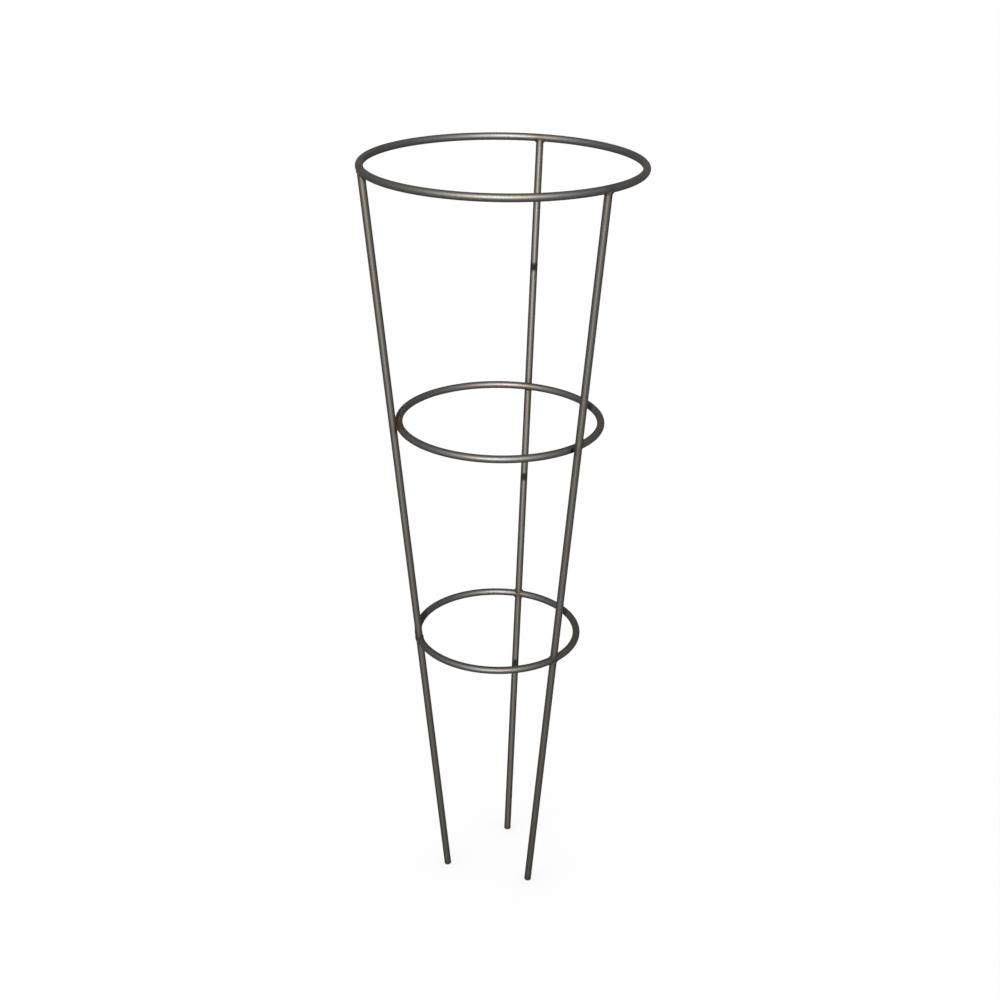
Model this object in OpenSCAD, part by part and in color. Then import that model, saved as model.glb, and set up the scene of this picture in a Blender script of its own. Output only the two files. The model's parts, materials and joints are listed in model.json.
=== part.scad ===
// Tomato cage: three welded rings on three leaning legs of round steel bar.
// The ground is the plane z = 0, the cage's axis is the Z axis, and -Y is the front.
// Units are millimetres and degrees.

/* [Cage] */
// Height from the ground to the top of the top ring
cage_height = 1067; // [850:1:1300]
// Diameter of the bar that the rings are rolled from
ring_bar_d = 10; // [8:0.1:12]
// Diameter of the bar that the legs and stakes are cut from
leg_bar_d = 10; // [8:0.1:12]

/* [Rings] */
// Diameter of the top ring, measured at the middle of its bar
top_ring_d = 356; // [310:1:420]
// Diameter of the lower ring, measured at the middle of its bar
lower_ring_d = 225; // [185:1:265]
// Height of the middle ring above the ground, at the middle of its bar
middle_ring_height = 722; // [640:1:800]
// Height of the lower ring above the ground, at the middle of its bar
lower_ring_height = 401; // [300:1:480]

/* [Ends and welds] */
// Width of the bevel round the cut end of each ground stake
tip_bevel = 0.8; // [0.2:0.1:1.6]
// Width of the fillet weld where a leg or stake butts against a ring
fillet_weld_size = 1.2; // [0.6:0.1:2]
// Depth of the bevel under that weld, at the butting end of each leg or stake
weld_bevel = 1.2; // [0.4:0.1:2]
// Depth that each leg and the middle ring are pressed into each other where they are welded
spot_weld_depth = 0.35; // [0.15:0.05:0.7]
// Diameter of the nugget of melted metal in each spot weld
spot_weld_d = 7; // [5.5:0.1:8]

/* [Hidden] */
$fn = 96;
hoop_facets = 240;

// Legs stand a third of a turn apart, one at the back and two at the front
full_turn_angle = 360;
back_angle = 90;
left_angle = back_angle + full_turn_angle / 3;
right_angle = back_angle - full_turn_angle / 3;

ring_bar_r = ring_bar_d / 2;
leg_bar_r = leg_bar_d / 2;
top_ring_r = top_ring_d / 2;
lower_ring_r = lower_ring_d / 2;
top_ring_height = cage_height - ring_bar_r;

// Each leg's axis runs straight through the bars of the top and lower rings
lean = atan((top_ring_r - lower_ring_r) / (top_ring_height - lower_ring_height));

// The square-cut tip leans too, so its outer edge is what touches the ground
tip_height = (leg_bar_r - tip_bevel) * sin(lean);
tip_r = lower_ring_r - (lower_ring_height - tip_height) * tan(lean);

// Places along a leg's axis, measured from the middle of its tip
weld_reach = ring_bar_r + fillet_weld_size;
lower_ring_along = (lower_ring_height - tip_height) / cos(lean);
top_ring_along = (top_ring_height - tip_height) / cos(lean);

// The middle ring lies inside the legs, and their bars are pressed together by the weld's depth
middle_ring_inset = leg_bar_r + ring_bar_r - spot_weld_depth;
leg_r_at_middle_ring = tip_r + (middle_ring_height - tip_height) * tan(lean);
middle_ring_r = leg_r_at_middle_ring - middle_ring_inset / cos(lean);
middle_ring_along = (middle_ring_r - tip_r) * sin(lean) + (middle_ring_height - tip_height) * cos(lean);
spot_weld_inset = leg_bar_r - spot_weld_depth / 2;

bar_colour = [0.33, 0.32, 0.31];
leg_colour = [0.40, 0.39, 0.38];
weld_colour = [0.27, 0.26, 0.25];

// One round bar rolled into a level circle
module hoop(hoop_r, height) {
    translate([0, 0, height])
        rotate_extrude($fn = hoop_facets)
            translate([hoop_r, 0])
                circle(r = ring_bar_r);
}

module top_hoop() {
    hoop(top_ring_r, top_ring_height);
}

module middle_hoop() {
    hoop(middle_ring_r, middle_ring_height);
}

module lower_hoop() {
    hoop(lower_ring_r, lower_ring_height);
}

// Puts its children on a leg: +Z runs up the leg's axis from the tip, and +X faces outwards
module on_leg(angle, along = 0) {
    rotate([0, 0, angle])
        translate([tip_r, 0, tip_height])
            rotate([0, lean, 0])
                translate([0, 0, along])
                    children();
}

// The weld metal round a leg's bevelled end, below a ring's bar at the origin, or above it with side = 1
module weld_collar(side = -1) {
    rotate_extrude()
        polygon([
            [leg_bar_r, side * weld_reach],
            [leg_bar_r + fillet_weld_size, side * ring_bar_r],
            [leg_bar_r - weld_bevel, 0]
        ]);
}

// The metal of a leg and the middle ring that melted together where they touch
module weld_nugget(angle) {
    on_leg(angle, middle_ring_along)
        translate([-spot_weld_inset, 0, 0])
            sphere(d = spot_weld_d);
}

module top_ring() {
    color(bar_colour)
        top_hoop();
}

module middle_ring() {
    color(bar_colour)
        difference() {
            middle_hoop();
            for (angle = [left_angle, right_angle, back_angle])
                weld_nugget(angle);
        }
}

module lower_ring() {
    color(bar_colour)
        lower_hoop();
}

// Both ends are bevelled and coped to the rings, and the middle ring is welded to the inner side
module upper_leg(angle) {
    color(leg_colour)
        difference() {
            on_leg(angle)
                rotate_extrude()
                    polygon([
                        [0, lower_ring_along],
                        [leg_bar_r - weld_bevel, lower_ring_along],
                        [leg_bar_r, lower_ring_along + weld_reach],
                        [leg_bar_r, top_ring_along - weld_reach],
                        [leg_bar_r - weld_bevel, top_ring_along],
                        [0, top_ring_along]
                    ]);
            top_hoop();
            lower_hoop();
            weld_nugget(angle);
        }
}

// The tip is cut square and its edge bevelled, and the head is bevelled and coped to the lower ring
module ground_stake(angle) {
    color(leg_colour)
        difference() {
            on_leg(angle)
                rotate_extrude()
                    polygon([
                        [0, 0],
                        [leg_bar_r - tip_bevel, 0],
                        [leg_bar_r, tip_bevel],
                        [leg_bar_r, lower_ring_along - weld_reach],
                        [leg_bar_r - weld_bevel, lower_ring_along],
                        [0, lower_ring_along]
                    ]);
            lower_hoop();
        }
}

module leg_head_weld(angle) {
    color(weld_colour)
        difference() {
            on_leg(angle, top_ring_along)
                weld_collar();
            top_hoop();
        }
}

module spot_weld(angle) {
    color(weld_colour)
        weld_nugget(angle);
}

module leg_foot_weld(angle) {
    color(weld_colour)
        difference() {
            on_leg(angle, lower_ring_along)
                weld_collar(side = 1);
            lower_hoop();
        }
}

module stake_weld(angle) {
    color(weld_colour)
        difference() {
            on_leg(angle, lower_ring_along)
                weld_collar();
            lower_hoop();
        }
}

top_ring();
middle_ring();
lower_ring();
upper_leg(left_angle);  // upper_leg_left
upper_leg(right_angle);  // upper_leg_right
upper_leg(back_angle);  // upper_leg_back
ground_stake(left_angle);  // ground_stake_left
ground_stake(right_angle);  // ground_stake_right
ground_stake(back_angle);  // ground_stake_back
leg_head_weld(left_angle);  // leg_head_weld_left
leg_head_weld(right_angle);  // leg_head_weld_right
leg_head_weld(back_angle);  // leg_head_weld_back
spot_weld(left_angle);  // spot_weld_left
spot_weld(right_angle);  // spot_weld_right
spot_weld(back_angle);  // spot_weld_back
leg_foot_weld(left_angle);  // leg_foot_weld_left
leg_foot_weld(right_angle);  // leg_foot_weld_right
leg_foot_weld(back_angle);  // leg_foot_weld_back
stake_weld(left_angle);  // stake_weld_left
stake_weld(right_angle);  // stake_weld_right
stake_weld(back_angle);  // stake_weld_back
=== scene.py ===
"""Dresses a welded steel tomato cage: rolled rings, straight legs, ground stakes and their welds.

All lengths are in metres, in the frame of the solid model: +Z is up, the ground is z = 0, and the back leg
stands towards +Y.
"""

import json
import math
import random

import bmesh
import bpy
from mathutils import Euler, Matrix, Vector


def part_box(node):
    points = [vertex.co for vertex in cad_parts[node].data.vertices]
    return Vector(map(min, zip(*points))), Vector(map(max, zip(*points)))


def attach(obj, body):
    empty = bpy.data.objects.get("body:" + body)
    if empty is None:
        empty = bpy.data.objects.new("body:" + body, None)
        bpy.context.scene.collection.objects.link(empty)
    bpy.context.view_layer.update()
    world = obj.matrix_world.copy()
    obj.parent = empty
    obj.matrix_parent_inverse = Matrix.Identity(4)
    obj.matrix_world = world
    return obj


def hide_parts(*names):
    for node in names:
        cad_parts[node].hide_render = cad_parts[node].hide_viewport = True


bl_info = {
    "name": "Tomato Cage",
    "version": (1, 0, 0),
    "blender": (4, 5, 0),
    "location": "View3D > Sidebar > Tomato Cage",
    "description": "Models a welded tomato cage of drawn steel bar on a pale studio floor",
    "category": "Add Mesh",
}

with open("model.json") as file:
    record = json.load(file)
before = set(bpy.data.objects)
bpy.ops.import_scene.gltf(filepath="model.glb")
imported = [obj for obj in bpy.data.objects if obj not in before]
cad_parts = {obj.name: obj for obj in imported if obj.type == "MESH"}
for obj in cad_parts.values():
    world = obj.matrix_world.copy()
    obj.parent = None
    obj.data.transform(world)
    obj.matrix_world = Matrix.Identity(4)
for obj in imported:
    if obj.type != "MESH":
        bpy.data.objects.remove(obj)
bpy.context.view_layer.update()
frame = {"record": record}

BODY = "root"
MM = 0.001
LEG_TURNS = {"back": 0.0, "left": math.tau / 3, "right": -math.tau / 3}  # round the cage from the back leg
UV_NAME = "bar_uv"
HEAT_AND_SHADE_NAME = "weld_heat_and_shade"
HAND_SEED = 42  # for the unevenness of welds laid by hand
NO_WRAP = 1000.0  # longer than any bar, so that the length of a straight bar never wraps
SAME_POINT = 0.001 * MM  # points closer than this are one point
CRISP_ANGLE = math.radians(35)  # edges sharper than this stay crisp
BAR_SIDES = 32
BEAD_SIDES = 12
NOISE_LOW, NOISE_HIGH = 0.3, 0.7  # most values of a noise pattern lie between these
EDGE_TINT = (0.42, 0.42, 0.42, 1.0)  # a dark film dims the bright rim that clean steel would have


def ring_sizes(node):
    """Bar radius, ring radius and height of a ring node, read from its box."""
    low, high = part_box(node)
    bar_radius = (high.z - low.z) / 2
    return bar_radius, (high.x - low.x) / 2 - bar_radius, (high.z + low.z) / 2


def stake_mount():
    """The record's mount for the back stake, which gives the leg bar's radius and lean."""
    for mount in frame["record"]["mounts"]:
        if mount["name"] == "ground_stake_back":
            return mount
    raise RuntimeError("the record has no mount named ground_stake_back")


RING_BAR_RADIUS, TOP_RING_RADIUS, TOP_RING_HEIGHT = ring_sizes("top_ring")
_, MIDDLE_RING_RADIUS, MIDDLE_RING_HEIGHT = ring_sizes("middle_ring")
_, LOWER_RING_RADIUS, LOWER_RING_HEIGHT = ring_sizes("lower_ring")
STAKE = stake_mount()
LEG_BAR_RADIUS = STAKE["dims"]["r_mm"] * MM
LEG_LEAN = math.atan2(-STAKE["axis"][1], -STAKE["axis"][2])
NUGGET_LOW, NUGGET_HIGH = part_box("spot_weld_back")
SPOT_CONTACT = (NUGGET_LOW + NUGGET_HIGH) / 2
SPOT_CREVICE = Vector((4.5 * MM, 0, 0))  # along the ring, to where the crevice beside a spot weld opens and its painted shade centres


def hex_colour(code):
    """Linear RGB of an sRGB hex code."""
    parts = [int(code[i : i + 2], 16) / 255 for i in (1, 3, 5)]
    return tuple(c / 12.92 if c <= 0.04045 else ((c + 0.055) / 1.055) ** 2.4 for c in parts)


class CageSizes(bpy.types.PropertyGroup):
    """Sizes of the dressed cage. Bars and rings start from the solid model."""

    ring_bar_radius: bpy.props.FloatProperty(
        name="Ring bar radius",
        description="Radius of the bar that the rings are rolled from",
        default=RING_BAR_RADIUS,
        unit="LENGTH",
    )
    leg_bar_radius: bpy.props.FloatProperty(
        name="Leg bar radius",
        description="Radius of the bar that the legs and stakes are cut from",
        default=LEG_BAR_RADIUS,
        unit="LENGTH",
    )
    tip_bevel: bpy.props.FloatProperty(
        name="Tip bevel",
        description="Width of the rounded edge at each stake's cut end",
        default=0.8 * MM,
        unit="LENGTH",
    )
    fillet_bead_radius: bpy.props.FloatProperty(
        name="Fillet bead radius",
        description="Radius of the weld bead where a leg or stake butts against a ring",
        default=1.3 * MM,
        unit="LENGTH",
    )
    fillet_bead_proud: bpy.props.FloatProperty(
        name="Fillet bead stand-off",
        description="How far the middle of that bead stands off both bars",
        default=0.3 * MM,
        unit="LENGTH",
    )
    spot_bead_radius: bpy.props.FloatProperty(
        name="Spot bead radius",
        description="Radius of the metal squeezed out round each spot weld",
        default=0.6 * MM,
        unit="LENGTH",
    )
    spot_ring_radius: bpy.props.FloatProperty(
        name="Spot weld radius",
        description="Radius of the ring of squeezed-out metal round each spot weld",
        default=2.7 * MM,
        unit="LENGTH",
    )
    heat_reach: bpy.props.FloatProperty(
        name="Heat tint reach",
        description="How far the tint from welding spreads along a bar",
        default=9 * MM,
        unit="LENGTH",
    )


class CageColours(bpy.types.PropertyGroup):
    """Colours of the steel and the stage."""

    steel: bpy.props.FloatVectorProperty(
        name="Drawn steel",
        description="Main colour of the drawn bar",
        subtype="COLOR",
        default=hex_colour("#383735"),
    )
    steel_brown: bpy.props.FloatVectorProperty(
        name="Brown film",
        description="Colour of the thin brown film that the bar takes on in patches",
        subtype="COLOR",
        default=hex_colour("#3a352f"),
    )
    steel_worn: bpy.props.FloatVectorProperty(
        name="Rubbed steel",
        description="Colour of the die lines where the film is rubbed off",
        subtype="COLOR",
        default=hex_colour("#444240"),
    )
    heat_tint: bpy.props.FloatVectorProperty(
        name="Heat tint",
        description="Colour of the oxide beside a weld",
        subtype="COLOR",
        default=hex_colour("#302620"),
    )
    # Painted shade: near-black laid into the spot welds' crevices where shade falls; it also darkens the
    # cut tips a little.
    crevice_shade: bpy.props.FloatVectorProperty(
        name="Crevice shade",
        description="Colour of the soot in the spot welds' crevices and on the cut tips",
        subtype="COLOR",
        default=hex_colour("#0f0e0d"),
    )
    weld: bpy.props.FloatVectorProperty(
        name="Weld bead",
        description="Main colour of the weld metal",
        subtype="COLOR",
        default=hex_colour("#32302d"),
    )
    weld_scale: bpy.props.FloatVectorProperty(
        name="Weld scale",
        description="Colour of the scale left in a weld bead's ripples",
        subtype="COLOR",
        default=hex_colour("#23211f"),
    )
    floor: bpy.props.FloatVectorProperty(
        name="Floor",
        description="Colour of the studio floor",
        subtype="COLOR",
        default=hex_colour("#f6f6f6"),
    )


# Modelling helpers


def select_only(obj):
    """Leaves one object selected and active."""
    bpy.ops.object.select_all(action="DESELECT")
    obj.select_set(True)
    bpy.context.view_layer.objects.active = obj


def start_piece(name):
    """Names the primitive that was just added."""
    piece = bpy.context.object
    piece.name = name
    piece.data.name = name
    return piece


def place(piece, matrix):
    """Moves a piece and applies the move, so that its place is in its mesh."""
    select_only(piece)
    piece.matrix_world = matrix
    bpy.ops.object.transform_apply(location=True, rotation=True, scale=True)


def copy_piece(piece, name, matrix):
    """A copy with its own mesh, moved by matrix."""
    select_only(piece)
    bpy.ops.object.duplicate(linked=False)
    twin = start_piece(name)
    place(twin, matrix)
    return twin


def clean_mesh(piece):
    """Merges doubles and turns every face outwards."""
    select_only(piece)
    bpy.ops.object.mode_set(mode="EDIT")
    bpy.ops.mesh.select_all(action="SELECT")
    bpy.ops.mesh.remove_doubles(threshold=SAME_POINT)
    bpy.ops.mesh.normals_make_consistent(inside=False)
    bpy.ops.object.mode_set(mode="OBJECT")


def smooth(piece):
    """Smooth shading that keeps the cut ends crisp."""
    select_only(piece)
    bpy.ops.object.shade_smooth_by_angle(angle=CRISP_ANGLE)


def finish_piece(piece, node, material):
    """Gives a finished piece its material and puts it in the place of its solid."""
    piece.data.materials.clear()
    piece.data.materials.append(material)
    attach(piece, BODY)
    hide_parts(node)


def lay_uv(piece, along_and_around, wraps):
    """Lays a UV map in metres: u runs along the bar and v round it, with no smear where either wraps."""
    layer = piece.data.uv_layers.new(name=UV_NAME)
    points = [along_and_around(vertex.co) for vertex in piece.data.vertices]
    for face in piece.data.polygons:
        first = points[face.vertices[0]]
        for corner, index in zip(face.loop_indices, face.vertices):
            pair = [
                value - round((value - start) / wrap) * wrap
                for value, start, wrap in zip(points[index], first, wraps)
            ]
            layer.data[corner].uv = pair


def mark_heat_and_shade(piece, hot_points, reach):
    """Stores from 0 to 1 how near each point lies to a weld, a spot weld's crevice or a cut tip."""
    heat_and_shade_level = piece.data.attributes.get(HEAT_AND_SHADE_NAME)  # a coped bar brings the ring's attribute with it
    if heat_and_shade_level is None:
        heat_and_shade_level = piece.data.attributes.new(HEAT_AND_SHADE_NAME, "FLOAT", "POINT")
    for vertex in piece.data.vertices:
        nearest = min((vertex.co - point).length for point in hot_points)
        heat_and_shade_level.data[vertex.index].value = math.exp(-((nearest / reach) ** 2))


def leg_matrix(turn, height):
    """Place on a leg's axis at a height: local Z runs up the leg, Y faces outwards and X along the ring."""
    radius = LOWER_RING_RADIUS + (height - LOWER_RING_HEIGHT) * math.tan(LEG_LEAN)
    lean = Matrix.Rotation(-LEG_LEAN, 4, "X")
    return Matrix.Rotation(turn, 4, "Z") @ Matrix.Translation((0, radius, height)) @ lean


def weld_points():
    """Hottest points: the joints' middles at the top and lower rings, and the spot welds' crevices, which
    also get painted shade.
    """
    top = leg_matrix(0, TOP_RING_HEIGHT).translation
    low = leg_matrix(0, LOWER_RING_HEIGHT).translation
    points = (top, SPOT_CONTACT - SPOT_CREVICE, SPOT_CONTACT + SPOT_CREVICE, low)
    turns = [Matrix.Rotation(turn, 3, "Z") for turn in LEG_TURNS.values()]
    return [turn @ point for turn in turns for point in points]


# Materials


def add_node(tree, kind, settings, links):
    """Adds a node, sets its properties and input values, and links its inputs from other nodes' outputs."""
    node = tree.nodes.new(kind)
    for key, value in settings.items():
        if isinstance(key, str) and hasattr(node, key):
            setattr(node, key, value)
        else:
            node.inputs[key].default_value = value
    for key, source in links.items():
        tree.links.new(source, node.inputs[key])
    return node


def new_material(name):
    """An empty node material with its output node."""
    material = bpy.data.materials.new(name)
    material.use_nodes = True
    material.node_tree.nodes.clear()
    output = material.node_tree.nodes.new("ShaderNodeOutputMaterial")
    return material, material.node_tree, output


def rgba(colour):
    """A colour property with full alpha."""
    return (*colour, 1.0)


def drawn_steel(name, colours, seed, smoothest, stretch):
    """Cold-drawn mild steel bar with its thin oil-darkened oxide film.

    The eye sees a dark pewter grey, a soft highlight that the straightening rolls' fine cross marks
    stretch along the bar, straight die lines, faint brown patches and browner oxide beside each weld.
    Near-black painted shade fills the spot welds' crevices, and the cut tips are darkened too.
    """
    die_line = 0.7 * MM  # real die lines are about 0.1 mm apart, drawn coarser so that they show
    die_length = 60 * MM
    patch_length = 38 * MM
    patch_width = 9 * MM
    grit = 0.5 * MM
    relief_depth = 0.08 * MM
    grit_relief = 0.35  # relief of the grit against that of the die lines
    die_roughness = 0.14  # how much rougher the film is than the rubbed lines
    grit_roughness = 0.03
    heat_cover = 0.8
    crevice_shade_start, crevice_shade_full = 0.74, 0.88  # painted shade: reached in the spot welds' crevices, and partly at the cut tips
    material, tree, output = new_material(name)
    uv = add_node(tree, "ShaderNodeUVMap", {"uv_map": UV_NAME}, {})
    heat_and_shade_level = add_node(tree, "ShaderNodeAttribute", {"attribute_name": HEAT_AND_SHADE_NAME}, {})
    die_map = add_node(
        tree,
        "ShaderNodeMapping",
        {"Scale": (1 / die_length, 1 / die_line, 1), "Location": (seed, seed, seed)},
        {"Vector": uv.outputs["UV"]},
    )
    die = add_node(
        tree,
        "ShaderNodeTexNoise",
        {"Scale": 1.0, "Detail": 4.0, "Roughness": 0.6},
        {"Vector": die_map.outputs["Vector"]},
    )
    patch_map = add_node(
        tree,
        "ShaderNodeMapping",
        {"Scale": (1 / patch_length, 1 / patch_width, 1), "Location": (seed * 3, seed, seed)},
        {"Vector": uv.outputs["UV"]},
    )
    patch = add_node(
        tree,
        "ShaderNodeTexNoise",
        {"Scale": 1.0, "Detail": 5.0, "Roughness": 0.55},
        {"Vector": patch_map.outputs["Vector"]},
    )
    grit_map = add_node(
        tree,
        "ShaderNodeMapping",
        {"Scale": (1 / grit, 1 / grit, 1)},
        {"Vector": uv.outputs["UV"]},
    )
    speckle = add_node(
        tree,
        "ShaderNodeTexNoise",
        {"Scale": 1.0, "Detail": 2.0},
        {"Vector": grit_map.outputs["Vector"]},
    )
    patch_share = add_node(
        tree,
        "ShaderNodeMapRange",
        {"From Min": 0.42, "From Max": 0.68},
        {"Value": patch.outputs["Fac"]},
    )
    die_share = add_node(
        tree,
        "ShaderNodeMapRange",
        {"From Min": 0.5, "From Max": 0.78, "To Max": 0.75},
        {"Value": die.outputs["Fac"]},
    )
    heat_share = add_node(
        tree,
        "ShaderNodeMath",
        {"operation": "MULTIPLY", 1: heat_cover},
        {0: heat_and_shade_level.outputs["Fac"]},
    )
    brown = add_node(
        tree,
        "ShaderNodeMix",
        {"data_type": "RGBA", 6: rgba(colours.steel), 7: rgba(colours.steel_brown)},
        {0: patch_share.outputs["Result"]},
    )
    worn = add_node(
        tree,
        "ShaderNodeMix",
        {"data_type": "RGBA", 7: rgba(colours.steel_worn)},
        {0: die_share.outputs["Result"], 6: brown.outputs[2]},
    )
    tinted = add_node(
        tree,
        "ShaderNodeMix",
        {"data_type": "RGBA", 7: rgba(colours.heat_tint)},
        {0: heat_share.outputs["Value"], 6: worn.outputs[2]},
    )
    # Painted shade: near-black where the mark runs highest, in the spot welds' crevices and partly at the
    # cut tips.
    crevice_shade_share = add_node(
        tree,
        "ShaderNodeMapRange",
        {"From Min": crevice_shade_start, "From Max": crevice_shade_full},
        {"Value": heat_and_shade_level.outputs["Fac"]},
    )
    crevice_shaded = add_node(
        tree,
        "ShaderNodeMix",
        {"data_type": "RGBA", 7: rgba(colours.crevice_shade)},
        {0: crevice_shade_share.outputs["Result"], 6: tinted.outputs[2]},
    )
    rough_die = add_node(
        tree,
        "ShaderNodeMapRange",
        {
            "From Min": NOISE_LOW,
            "From Max": NOISE_HIGH,
            "To Min": smoothest + die_roughness,
            "To Max": smoothest,
        },
        {"Value": die.outputs["Fac"]},
    )
    rough_grit = add_node(
        tree,
        "ShaderNodeMapRange",
        {
            "From Min": NOISE_LOW,
            "From Max": NOISE_HIGH,
            "To Min": -grit_roughness,
            "To Max": grit_roughness,
        },
        {"Value": speckle.outputs["Fac"]},
    )
    rough = add_node(
        tree,
        "ShaderNodeMath",
        {"operation": "ADD"},
        {0: rough_die.outputs["Result"], 1: rough_grit.outputs["Result"]},
    )
    relief = add_node(
        tree,
        "ShaderNodeMath",
        {"operation": "MULTIPLY_ADD", 1: grit_relief},
        {0: speckle.outputs["Fac"], 2: die.outputs["Fac"]},
    )
    bump = add_node(
        tree,
        "ShaderNodeBump",
        {"Strength": 0.1, "Distance": relief_depth},
        {"Height": relief.outputs["Value"]},
    )
    lengthwise = add_node(tree, "ShaderNodeTangent", {"direction_type": "UV_MAP", "uv_map": UV_NAME}, {})
    shader = add_node(
        tree,
        "ShaderNodeBsdfPrincipled",
        {"Metallic": 1.0, "Anisotropic": stretch, "Specular Tint": EDGE_TINT},
        {
            "Base Color": crevice_shaded.outputs[2],
            "Roughness": rough.outputs["Value"],
            "Normal": bump.outputs["Normal"],
            "Tangent": lengthwise.outputs["Tangent"],
        },
    )
    tree.links.new(shader.outputs["BSDF"], output.inputs["Surface"])
    return material


def weld_steel(colours):
    """Mild steel weld metal, laid in ripples and left with its dark scale.

    The eye sees a duller, lumpier grey than the bar, blotched with near-black scale.
    """
    blotch = 2.2 * MM
    grain = 0.35 * MM
    grain_depth = 0.1 * MM
    material, tree, output = new_material("scaled weld steel")
    place_on = add_node(tree, "ShaderNodeTexCoord", {}, {})
    blotches = add_node(
        tree,
        "ShaderNodeTexNoise",
        {"Scale": 1 / blotch, "Detail": 3.0},
        {"Vector": place_on.outputs["Object"]},
    )
    grains = add_node(
        tree,
        "ShaderNodeTexNoise",
        {"Scale": 1 / grain, "Detail": 2.0},
        {"Vector": place_on.outputs["Object"]},
    )
    scale_share = add_node(
        tree,
        "ShaderNodeMapRange",
        {"From Min": 0.38, "From Max": 0.62},
        {"Value": blotches.outputs["Fac"]},
    )
    colour = add_node(
        tree,
        "ShaderNodeMix",
        {"data_type": "RGBA", 6: rgba(colours.weld), 7: rgba(colours.weld_scale)},
        {0: scale_share.outputs["Result"]},
    )
    rough = add_node(
        tree,
        "ShaderNodeMapRange",
        {"From Min": NOISE_LOW, "From Max": NOISE_HIGH, "To Min": 0.6, "To Max": 0.8},
        {"Value": grains.outputs["Fac"]},
    )
    bump = add_node(
        tree,
        "ShaderNodeBump",
        {"Strength": 0.25, "Distance": grain_depth},
        {"Height": grains.outputs["Fac"]},
    )
    shader = add_node(
        tree,
        "ShaderNodeBsdfPrincipled",
        {"Metallic": 1.0, "Specular Tint": EDGE_TINT},
        {
            "Base Color": colour.outputs[2],
            "Roughness": rough.outputs["Result"],
            "Normal": bump.outputs["Normal"],
        },
    )
    tree.links.new(shader.outputs["BSDF"], output.inputs["Surface"])
    return material


def studio_paper(colours):
    """Matt white studio paper: pale to the eye and to reflections, and still a little darker in shadow."""
    paper_share = 0.3
    material, tree, output = new_material("matt studio paper")
    path = add_node(tree, "ShaderNodeLightPath", {}, {})
    mirrored = add_node(
        tree,
        "ShaderNodeMath",
        {"operation": "MAXIMUM"},
        {0: path.outputs["Is Glossy Ray"], 1: path.outputs["Is Transmission Ray"]},
    )
    seen = add_node(
        tree,
        "ShaderNodeMath",
        {"operation": "MAXIMUM"},
        {0: path.outputs["Is Camera Ray"], 1: mirrored.outputs["Value"]},
    )
    glow_share = add_node(
        tree,
        "ShaderNodeMath",
        {"operation": "MULTIPLY", 1: 1 - paper_share},
        {0: seen.outputs["Value"]},
    )
    paper = add_node(tree, "ShaderNodeBsdfDiffuse", {"Color": rgba(colours.floor)}, {})
    glow = add_node(tree, "ShaderNodeEmission", {"Color": (1, 1, 1, 1), "Strength": 1.0}, {})
    mixed = add_node(
        tree,
        "ShaderNodeMixShader",
        {},
        {0: glow_share.outputs["Value"], 1: paper.outputs["BSDF"], 2: glow.outputs["Emission"]},
    )
    tree.links.new(mixed.outputs["Shader"], output.inputs["Surface"])
    return material


# Pieces


class CAGE_OT_rings(bpy.types.Operator):
    """Roll the top, middle and lower rings"""

    bl_idname = "cage.rings"
    bl_label = "Rings"

    STEPS = 240

    def execute(self, context):
        sizes = context.scene.cage_sizes
        colours = context.scene.cage_colours
        steel = drawn_steel("cold drawn ring steel", colours, seed=3.0, smoothest=0.50, stretch=0.06)
        self.roll("top_ring", TOP_RING_RADIUS, TOP_RING_HEIGHT, sizes, steel)
        self.roll("middle_ring", MIDDLE_RING_RADIUS, MIDDLE_RING_HEIGHT, sizes, steel)
        self.roll("lower_ring", LOWER_RING_RADIUS, LOWER_RING_HEIGHT, sizes, steel)
        return {"FINISHED"}

    def roll(self, node, radius, height, sizes, steel):
        """Spins a bar's section once round the cage's axis."""
        bar = sizes.ring_bar_radius
        bpy.ops.object.select_all(action="DESELECT")
        bpy.ops.mesh.primitive_circle_add(
            vertices=BAR_SIDES,
            radius=bar,
            location=(radius, 0, height),
            rotation=(math.pi / 2, 0, 0),
        )
        ring = start_piece("rolled_" + node)
        bpy.ops.object.transform_apply(location=True, rotation=True, scale=True)
        bpy.ops.object.mode_set(mode="EDIT")
        bpy.ops.mesh.select_all(action="SELECT")
        bpy.ops.mesh.spin(steps=self.STEPS, angle=math.tau, center=(0, 0, height), axis=(0, 0, 1))
        bpy.ops.object.mode_set(mode="OBJECT")
        clean_mesh(ring)

        def along_and_around(point):
            """Distance round the ring, and round the bar from the inner side."""
            across = math.hypot(point.x, point.y) - radius
            turn = math.atan2(point.z - height, -across)
            return math.atan2(point.y, point.x) * radius, turn * bar

        lay_uv(ring, along_and_around, (math.tau * radius, math.tau * bar))
        mark_heat_and_shade(ring, weld_points(), sizes.heat_reach)
        smooth(ring)
        finish_piece(ring, node, steel)


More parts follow.
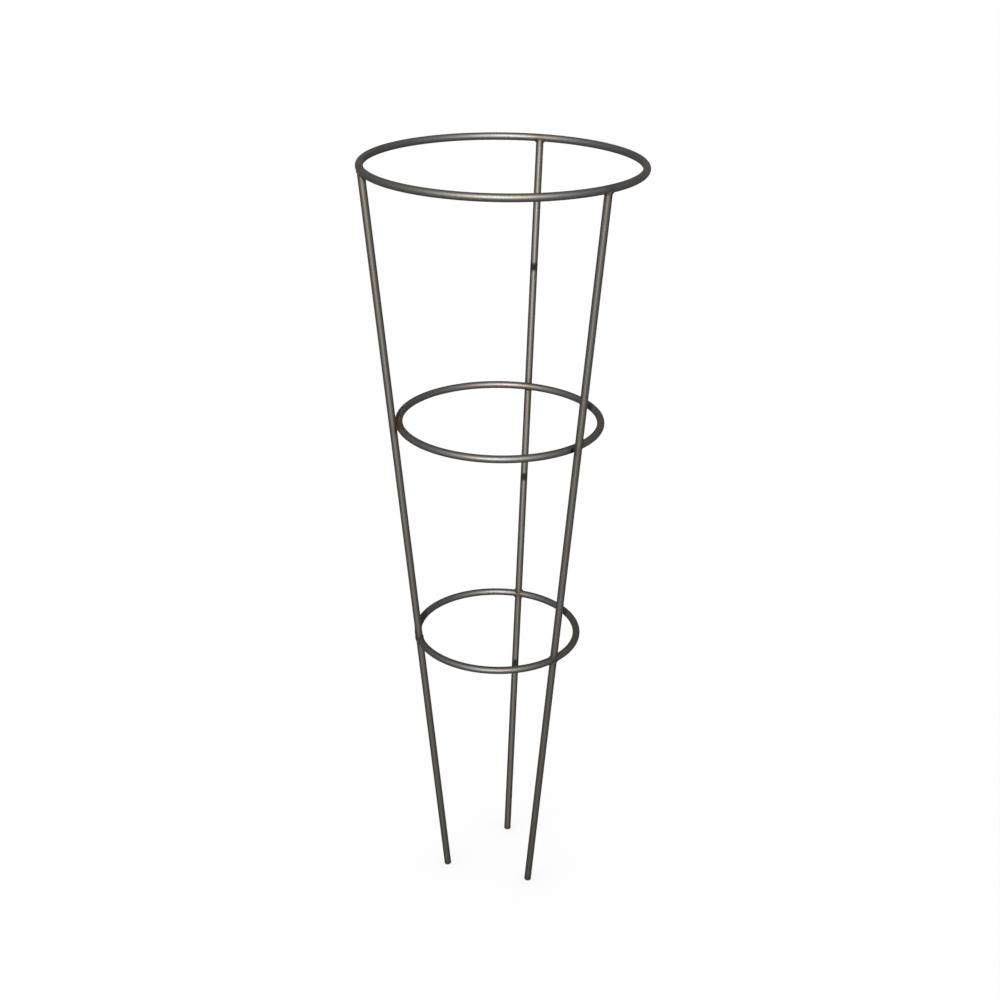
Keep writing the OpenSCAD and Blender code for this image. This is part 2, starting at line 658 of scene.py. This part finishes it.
def straight_bar(name, radius, start, end, rows):
    """A closed round bar along Z, divided into rows along its length."""
    bpy.ops.object.select_all(action="DESELECT")
    bpy.ops.mesh.primitive_circle_add(
        vertices=BAR_SIDES,
        radius=radius,
        fill_type="NGON",
        location=(0, 0, start),
    )
    bar = start_piece(name)
    bpy.ops.object.transform_apply(location=True, rotation=True, scale=True)
    bpy.ops.object.mode_set(mode="EDIT")
    bpy.ops.mesh.select_all(action="SELECT")
    bpy.ops.mesh.extrude_region_move(TRANSFORM_OT_translate={"value": (0, 0, end - start)})
    bpy.ops.mesh.select_all(action="DESELECT")
    net = bmesh.from_edit_mesh(bar.data)
    for edge in net.edges:
        ends = [vertex.co.z for vertex in edge.verts]
        if abs(ends[0] - ends[1]) > (end - start) / 2:
            edge.select_set(True)
    bmesh.update_edit_mesh(bar.data)
    bpy.ops.mesh.subdivide(number_cuts=rows - 1)
    bpy.ops.object.mode_set(mode="OBJECT")
    clean_mesh(bar)
    return bar


def lay_bar_uv(bar, radius):
    """UV map of a bar that still stands on Z, with its seam on the inner side."""

    def along_and_around(point):
        """Distance up the bar, and round it."""
        return point.z, math.atan2(point.x, point.y) * radius

    lay_uv(bar, along_and_around, (NO_WRAP, math.tau * radius))


def cope(bar, ring_name):
    """Cuts the end of a bar to the round of the ring that it butts against."""
    select_only(bar)
    cut = bar.modifiers.new("cope", "BOOLEAN")
    cut.operation = "DIFFERENCE"
    cut.solver = "EXACT"
    cut.object = bpy.data.objects[ring_name]
    bpy.ops.object.modifier_apply(modifier=cut.name)


def finish_bars(back_bar, stem, steel):
    """Finishes the bar of the back leg, and copies it round to the left and right legs."""
    finish_piece(back_bar, stem + "back", steel)
    for side in ("left", "right"):
        turn = Matrix.Rotation(LEG_TURNS[side], 4, "Z")
        twin = copy_piece(back_bar, "straight_" + stem + side, turn)
        finish_piece(twin, stem + side, steel)


class CAGE_OT_upper_legs(bpy.types.Operator):
    """Cut the three legs that join the lower ring to the top ring"""

    bl_idname = "cage.upper_legs"
    bl_label = "Upper legs"

    ROWS = 100

    def execute(self, context):
        sizes = context.scene.cage_sizes
        colours = context.scene.cage_colours
        steel = drawn_steel("cold drawn leg steel", colours, seed=11.0, smoothest=0.50, stretch=0.22)
        length = (TOP_RING_HEIGHT - LOWER_RING_HEIGHT) / math.cos(LEG_LEAN)
        leg = straight_bar("straight_upper_leg_back", sizes.leg_bar_radius, 0, length, self.ROWS)
        lay_bar_uv(leg, sizes.leg_bar_radius)
        place(leg, leg_matrix(0, LOWER_RING_HEIGHT))
        cope(leg, "rolled_top_ring")
        cope(leg, "rolled_lower_ring")
        mark_heat_and_shade(leg, weld_points(), sizes.heat_reach)
        smooth(leg)
        finish_bars(leg, "upper_leg_", steel)
        return {"FINISHED"}


class CAGE_OT_ground_stakes(bpy.types.Operator):
    """Cut the three stakes below the lower ring, with their plain cut tips"""

    bl_idname = "cage.ground_stakes"
    bl_label = "Ground stakes"

    ROWS = 80
    TIP_SEGMENTS = 3

    def execute(self, context):
        sizes = context.scene.cage_sizes
        steel = bpy.data.materials["cold drawn leg steel"]
        tip_height = (sizes.leg_bar_radius - sizes.tip_bevel) * math.sin(LEG_LEAN)
        length = (LOWER_RING_HEIGHT - tip_height) / math.cos(LEG_LEAN)
        stake = straight_bar("straight_ground_stake_back", sizes.leg_bar_radius, -length, 0, self.ROWS)
        self.bevel_tip(stake, -length, sizes.tip_bevel)
        lay_bar_uv(stake, sizes.leg_bar_radius)
        place(stake, leg_matrix(0, LOWER_RING_HEIGHT))
        cope(stake, "rolled_lower_ring")
        # The cut tips are darkened with the heat tint and, at their very ends, a little of the crevice
        # shade.
        cut_end = leg_matrix(0, tip_height).translation
        mark_heat_and_shade(stake, [*weld_points(), cut_end], sizes.heat_reach)
        smooth(stake)
        finish_bars(stake, "ground_stake_", steel)
        return {"FINISHED"}

    def bevel_tip(self, stake, tip, width):
        """Rounds the edge of the square-cut end."""
        select_only(stake)
        bpy.ops.object.mode_set(mode="EDIT")
        bpy.ops.mesh.select_all(action="DESELECT")
        net = bmesh.from_edit_mesh(stake.data)
        for edge in net.edges:
            if all(abs(vertex.co.z - tip) < width / 2 for vertex in edge.verts):
                edge.select_set(True)
        bmesh.update_edit_mesh(stake.data)
        bpy.ops.mesh.bevel(offset=width, segments=self.TIP_SEGMENTS)
        bpy.ops.object.mode_set(mode="OBJECT")


def rippled_bead(name, loop_radius, bead_radius, sections, offset, swell):
    """A weld bead round Z: each section of a torus is scaled by swell(angle) and moved by offset(angle)."""
    bpy.ops.object.select_all(action="DESELECT")
    bpy.ops.mesh.primitive_torus_add(
        major_segments=sections,
        minor_segments=BEAD_SIDES,
        major_radius=loop_radius,
        minor_radius=bead_radius,
    )
    bead = start_piece(name)
    bpy.ops.object.mode_set(mode="EDIT")
    bpy.ops.mesh.select_mode(type="VERT")
    for count in range(sections):
        angle = math.tau * count / sections
        middle = Vector((math.cos(angle), math.sin(angle), 0)) * loop_radius
        side = Vector((-math.sin(angle), math.cos(angle), 0))
        bpy.ops.mesh.select_all(action="DESELECT")
        net = bmesh.from_edit_mesh(bead.data)
        for vertex in net.verts:
            flat = Vector((vertex.co.x, vertex.co.y, 0))
            vertex.select_set(abs(flat.dot(side)) < SAME_POINT and flat.dot(middle) > 0)
        net.select_flush_mode()
        bmesh.update_edit_mesh(bead.data)
        size = swell(angle)
        bpy.ops.transform.resize(value=(size, size, size), center_override=middle)
        bpy.ops.transform.translate(value=offset(angle))
    bpy.ops.object.mode_set(mode="OBJECT")
    clean_mesh(bead)
    select_only(bead)
    round_off = bead.modifiers.new("round off", "SUBSURF")
    round_off.levels = 1
    round_off.render_levels = 1
    bpy.ops.object.modifier_apply(modifier=round_off.name)
    bpy.ops.object.shade_smooth()
    return bead


class CAGE_OT_fillet_welds(bpy.types.Operator):
    """Lay the fillet welds where the legs and stakes butt against the top and lower rings"""

    bl_idname = "cage.fillet_welds"
    bl_label = "Fillet welds"

    SECTIONS = 56
    RIPPLES = 14
    RIPPLE_RISE = 0.07
    UNEVENNESS = 0.03
    SLIMMEST = 0.68  # share of the bead's radius that is left on the ring's flanks
    FLANK_STOP = 1.6 * MM  # how far below the ring's middle the bead stays on those flanks

    def execute(self, context):
        sizes = context.scene.cage_sizes
        steel = weld_steel(context.scene.cage_colours)
        hand = random.Random(HAND_SEED)
        loop = sizes.leg_bar_radius + sizes.fillet_bead_proud
        rest = sizes.ring_bar_radius + sizes.fillet_bead_proud

        def offset(angle):
            """Down to the saddle where the leg meets the ring, and short of the ring's middle."""
            across = loop * math.sin(angle)
            return (0, 0, -math.sqrt(max(rest**2 - across**2, self.FLANK_STOP**2)))

        def swell(angle):
            """Fuller in the two corners along the ring, with ripples and a hand's unevenness."""
            corner = self.SLIMMEST + (1 - self.SLIMMEST) * math.cos(angle) ** 2
            ripple = 1 + self.RIPPLE_RISE * math.cos(angle * self.RIPPLES)
            return corner * ripple * hand.uniform(1 - self.UNEVENNESS, 1 + self.UNEVENNESS)

        bead_radius = sizes.fillet_bead_radius
        template = rippled_bead("bead_template", loop, bead_radius, self.SECTIONS, offset, swell)
        flip = Matrix.Rotation(math.pi, 4, "Y")
        for side, turn in LEG_TURNS.items():
            top = leg_matrix(turn, TOP_RING_HEIGHT)
            low = leg_matrix(turn, LOWER_RING_HEIGHT)
            places = {"leg_head_weld_": top, "leg_foot_weld_": low @ flip, "stake_weld_": low}
            for stem, matrix in places.items():
                bead = copy_piece(template, "rippled_" + stem + side, matrix)
                finish_piece(bead, stem + side, steel)
        bpy.data.objects.remove(template)
        return {"FINISHED"}


class CAGE_OT_spot_welds(bpy.types.Operator):
    """Squeeze out the metal of the spot welds between the legs and the middle ring"""

    bl_idname = "cage.spot_welds"
    bl_label = "Spot welds"

    SECTIONS = 40
    RIPPLES = 7
    RIPPLE_RISE = 0.08
    UNEVENNESS = 0.06

    def execute(self, context):
        sizes = context.scene.cage_sizes
        steel = bpy.data.materials["scaled weld steel"]
        hand = random.Random(HAND_SEED)
        loop = sizes.spot_ring_radius
        leg_bar = sizes.leg_bar_radius
        ring_bar = sizes.ring_bar_radius

        def offset(angle):
            """Half-way between the leg, which curves away outwards, and the ring, which curves inwards."""
            leg_gap = leg_bar - math.sqrt(leg_bar**2 - (loop * math.cos(angle)) ** 2)
            ring_gap = ring_bar - math.sqrt(ring_bar**2 - (loop * math.sin(angle)) ** 2)
            return (0, 0, (ring_gap - leg_gap) / 2)

        def swell(angle):
            """Uneven squeezed-out metal."""
            ripple = 1 + self.RIPPLE_RISE * math.cos(angle * self.RIPPLES)
            return ripple * hand.uniform(1 - self.UNEVENNESS, 1 + self.UNEVENNESS)

        bead_radius = sizes.spot_bead_radius
        template = rippled_bead("flash_template", loop, bead_radius, self.SECTIONS, offset, swell)
        face_inwards = Matrix.Rotation(math.pi / 2 - LEG_LEAN, 4, "X")
        for side, turn in LEG_TURNS.items():
            matrix = Matrix.Rotation(turn, 4, "Z") @ Matrix.Translation(SPOT_CONTACT) @ face_inwards
            flash = copy_piece(template, "squeezed_spot_weld_" + side, matrix)
            finish_piece(flash, "spot_weld_" + side, steel)
        bpy.data.objects.remove(template)
        return {"FINISHED"}


# Stage


class CageStage(bpy.types.PropertyGroup):
    """Where the camera and the lamps stand."""

    camera_distance: bpy.props.FloatProperty(
        name="Camera distance",
        description="Level distance from the cage's axis to the camera",
        default=1.8381,
        unit="LENGTH",
    )
    camera_height: bpy.props.FloatProperty(
        name="Camera height",
        description="Height of the camera above the floor",
        default=1.4526,
        unit="LENGTH",
    )
    camera_turn: bpy.props.FloatProperty(
        name="Camera turn",
        description="How far round the cage the camera stands from straight in front",
        default=math.radians(16.071),
        subtype="ANGLE",
    )
    camera_heading: bpy.props.FloatProperty(
        name="Camera heading",
        description="Level direction that the camera faces, from straight back",
        default=math.radians(16.019),
        subtype="ANGLE",
    )
    camera_pitch: bpy.props.FloatProperty(
        name="Camera pitch",
        description="How far the camera looks down",
        default=math.radians(24.786),
        subtype="ANGLE",
    )
    camera_roll: bpy.props.FloatProperty(
        name="Camera roll",
        description="How far the camera leans to one side",
        default=math.radians(0.745),
        subtype="ANGLE",
    )
    camera_lens: bpy.props.FloatProperty(
        name="Camera lens",
        description="Focal length on a 36 mm sensor",
        default=53.25,
        unit="CAMERA",
    )
    glint_height: bpy.props.FloatProperty(
        name="Glint height",
        description="Height angle of the lamp that draws the highlights",
        default=math.radians(27.6),
        subtype="ANGLE",
    )
    glint_turn: bpy.props.FloatProperty(
        name="Glint turn",
        description="How far round the cage that lamp stands from straight in front",
        default=math.radians(11),
        subtype="ANGLE",
    )
    glint_strength: bpy.props.FloatProperty(
        name="Glint strength",
        description="Strength of the lamp that draws the highlights",
        default=36.0,
    )


class CAGE_OT_stage(bpy.types.Operator):
    """Set up the floor, the soft studio light and the camera"""

    bl_idname = "cage.stage"
    bl_label = "Stage"

    FLOOR_SIZE = 60.0
    SENSOR_WIDTH = 36.0
    KEY_HEIGHT = math.radians(50)
    KEY_TURN = math.radians(-35)
    KEY_WIDTH = math.radians(40)
    KEY_STRENGTH = 0.4
    GLINT_DISTANCE = 40.0
    GLINT_RADIUS = 0.28
    GLINT_CONE = math.radians(6.8)
    GLINT_FADE = 1.0
    GLINT_LIFT = math.radians(1.2)  # aims above the top ring, so that the beam fades down the legs

    def execute(self, context):
        stage = context.scene.cage_stage
        self.lay_floor(context.scene.cage_colours)
        self.light_world(context.scene)
        self.hang_lamps(stage)
        self.set_camera(context.scene, stage)
        context.scene.view_settings.view_transform = "Standard"
        return {"FINISHED"}

    def lay_floor(self, colours):
        """A wide sheet of pale paper under the stakes."""
        bpy.ops.object.select_all(action="DESELECT")
        bpy.ops.mesh.primitive_plane_add(size=self.FLOOR_SIZE)
        floor = start_piece("studio_floor")
        floor.data.materials.append(studio_paper(colours))

    def light_world(self, scene):
        """Even white surroundings, for the eye, for reflections and as light."""
        world = bpy.data.worlds.new("white studio")
        world.use_nodes = True
        tree = world.node_tree
        tree.nodes.clear()
        output = tree.nodes.new("ShaderNodeOutputWorld")
        white = add_node(tree, "ShaderNodeBackground", {"Color": (1, 1, 1, 1), "Strength": 1.0}, {})
        tree.links.new(white.outputs["Background"], output.inputs["Surface"])
        scene.world = world

    def hang_lamps(self, stage):
        """A broad soft key, and a far lamp in front that only draws highlights on metal."""
        bpy.ops.object.light_add(type="SUN", rotation=self.shine(self.KEY_HEIGHT, self.KEY_TURN))
        key = bpy.context.object
        key.name = "soft_key"
        key.data.angle = self.KEY_WIDTH
        key.data.energy = self.KEY_STRENGTH
        top = Vector((0, 0, TOP_RING_HEIGHT))
        toward = Euler(self.shine(stage.glint_height, stage.glint_turn)).to_matrix() @ Vector((0, 0, 1))
        bpy.ops.object.light_add(
            type="SPOT",
            location=top + toward * self.GLINT_DISTANCE,
            rotation=self.shine(stage.glint_height - self.GLINT_LIFT, stage.glint_turn),
        )
        front = bpy.context.object
        front.name = "front_highlight"
        front.data.shadow_soft_size = self.GLINT_RADIUS
        front.data.spot_size = self.GLINT_CONE
        front.data.spot_blend = self.GLINT_FADE
        front.data.energy = stage.glint_strength * 4 * math.pi * self.GLINT_DISTANCE**2
        front.visible_diffuse = False

    def shine(self, height, turn):
        """Rotation of a lamp that shines down from a height angle, turned round the cage from the front."""
        return (math.pi / 2 - height, 0, turn)

    def set_camera(self, scene, stage):
        """The camera, as the photograph was taken."""
        bpy.ops.object.camera_add()
        camera = bpy.context.object
        camera.name = "photo_camera"
        camera.data.sensor_width = self.SENSOR_WIDTH
        camera.data.lens = stage.camera_lens
        turn = Matrix.Rotation(stage.camera_turn, 4, "Z")
        stand = turn @ Vector((0, -stage.camera_distance, stage.camera_height))
        heading = Matrix.Rotation(stage.camera_heading, 4, "Z")
        pitch = Matrix.Rotation(math.pi / 2 - stage.camera_pitch, 4, "X")
        roll = Matrix.Rotation(stage.camera_roll, 4, "Z")
        camera.matrix_world = Matrix.Translation(stand) @ heading @ pitch @ roll
        scene.camera = camera


class CAGE_PT_sidebar(bpy.types.Panel):
    """Lists the cage's pieces, sizes and colours"""

    bl_idname = "CAGE_PT_sidebar"
    bl_label = "Tomato Cage"
    bl_space_type = "VIEW_3D"
    bl_region_type = "UI"
    bl_category = "Tomato Cage"

    def draw(self, context):
        for operator in OPERATORS:
            self.layout.operator(operator.bl_idname)
        for group in (context.scene.cage_sizes, context.scene.cage_colours, context.scene.cage_stage):
            column = self.layout.column()
            for name in group.__annotations__:
                column.prop(group, name)


GROUPS = {"cage_sizes": CageSizes, "cage_colours": CageColours, "cage_stage": CageStage}
OPERATORS = (
    CAGE_OT_rings,
    CAGE_OT_upper_legs,
    CAGE_OT_ground_stakes,
    CAGE_OT_fillet_welds,
    CAGE_OT_spot_welds,
    CAGE_OT_stage,
)


def register():
    for group in GROUPS.values():
        bpy.utils.register_class(group)
    for name, group in GROUPS.items():
        setattr(bpy.types.Scene, name, bpy.props.PointerProperty(type=group))
    for operator in OPERATORS:
        bpy.utils.register_class(operator)
    bpy.utils.register_class(CAGE_PT_sidebar)


def unregister():
    bpy.utils.unregister_class(CAGE_PT_sidebar)
    for operator in reversed(OPERATORS):
        bpy.utils.unregister_class(operator)
    for name in GROUPS:
        delattr(bpy.types.Scene, name)
    for group in reversed(list(GROUPS.values())):
        bpy.utils.unregister_class(group)


def main():
    register()
    bpy.ops.cage.stage()
    bpy.ops.cage.rings()
    bpy.ops.cage.upper_legs()
    bpy.ops.cage.ground_stakes()
    bpy.ops.cage.fillet_welds()
    bpy.ops.cage.spot_welds()


if __name__ == "__main__":
    main()
